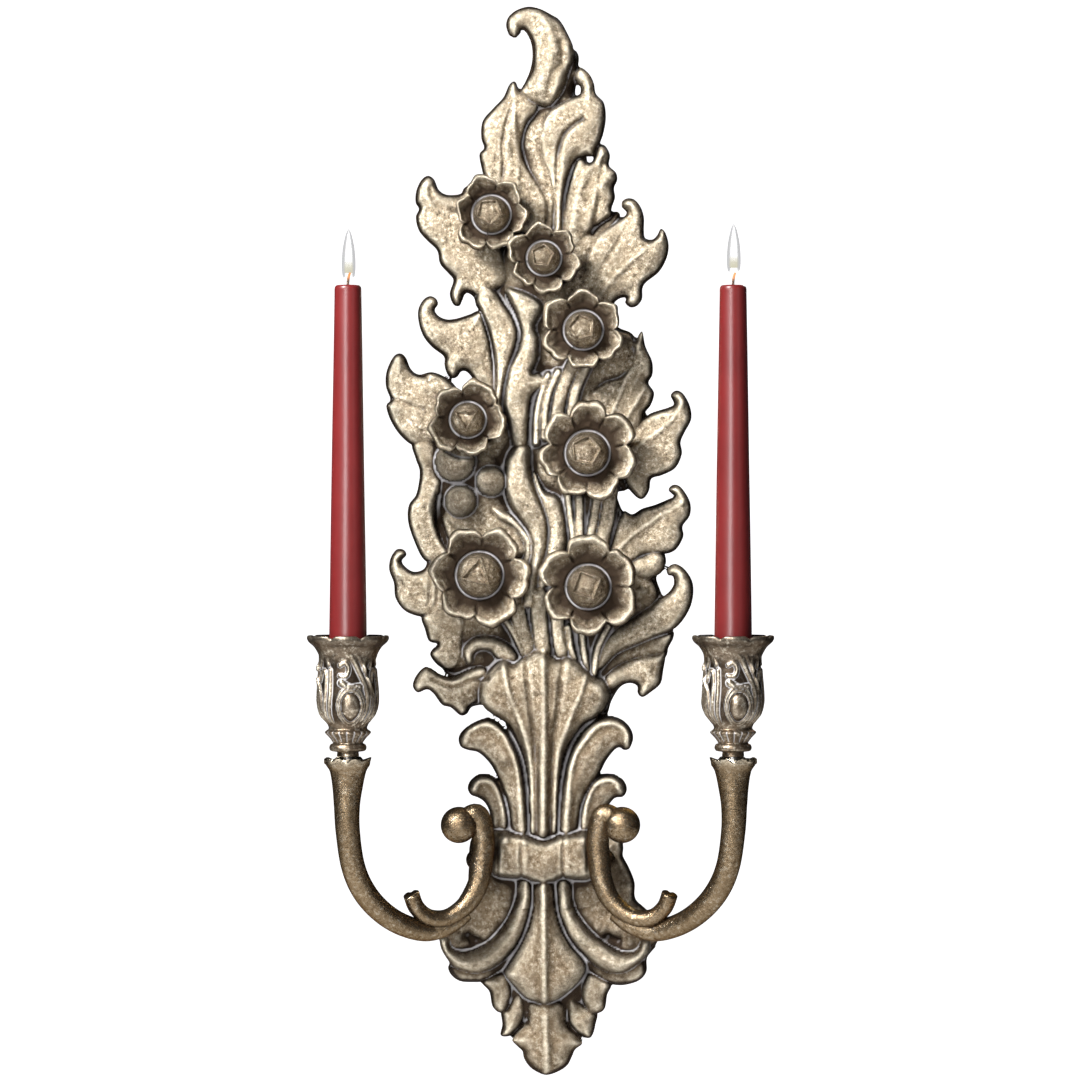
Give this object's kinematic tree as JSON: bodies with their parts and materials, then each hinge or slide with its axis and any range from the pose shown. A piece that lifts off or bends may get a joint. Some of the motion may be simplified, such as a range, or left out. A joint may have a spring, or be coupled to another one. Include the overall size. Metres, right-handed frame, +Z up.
{
  "type": "wall sconce candle holder",
  "caption": "Tall carved flower-and-leaf wall sconce in antique gold with swept arms, turned candle cups and red taper candles.",
  "frame": {"origin": "hanging point: rear face of the hanger plate on the wall plane, just above the keyhole slot", "axes": "+Z up, +Y into the wall, -Y is the front, +X to the right as seen from the front"},
  "size_m": [0.2708, 0.1189, 0.6447],
  "materials": {
    "antique_gold": "antique gold leaf over moulded composition, dark wax in the recesses",
    "silvered_gold": "antique gold with a silver-grey wash",
    "brass_insert": "spun brass",
    "zinc_steel": "zinc plated",
    "red_wax": "smooth deep red wax",
    "wick_cotton": "charred cotton"
  },
  "bodies": {
    "wall_frame": {"backplate": "antique_gold", "hanger_plate": "zinc_steel", "hanger_screw_left": "zinc_steel", "hanger_screw_right": "zinc_steel", "flower_top_left": "antique_gold", "flower_top_centre": "antique_gold", "flower_upper_right": "antique_gold", "flower_middle_left": "antique_gold", "flower_middle_right": "antique_gold", "flower_lower_left": "antique_gold", "flower_lower_right": "antique_gold", "left_arm": "antique_gold", "arm_screw_left_upper": "zinc_steel", "arm_screw_left_lower": "zinc_steel", "left_stud": "zinc_steel", "right_arm": "antique_gold", "arm_screw_right_upper": "zinc_steel", "arm_screw_right_lower": "zinc_steel", "right_stud": "zinc_steel"},
    "left_holder": {"left_cup": "silvered_gold", "left_liner": "brass_insert"},
    "left_taper": {"left_candle": "red_wax", "left_wick": "wick_cotton"},
    "right_holder": {"right_cup": "silvered_gold", "right_liner": "brass_insert"},
    "right_taper": {"right_candle": "red_wax", "right_wick": "wick_cotton"}
  },
  "joints": [
    {"name": "left_cup_turn", "type": "hinge", "parent": "wall_frame", "child": "left_holder", "pos_m": [-0.113, -0.095, -0.34], "axis": [0, 0, 1], "continuous": true},
    {"name": "left_candle_lift", "type": "slide", "parent": "left_holder", "child": "left_taper", "axis": [0, 0, 1], "range_m": [0, 0.06]},
    {"name": "right_cup_turn", "type": "hinge", "parent": "wall_frame", "child": "right_holder", "pos_m": [0.11, -0.095, -0.34], "axis": [0, 0, 1], "continuous": true},
    {"name": "right_candle_lift", "type": "slide", "parent": "right_holder", "child": "right_taper", "axis": [0, 0, 1], "range_m": [0, 0.06]}
  ]
}
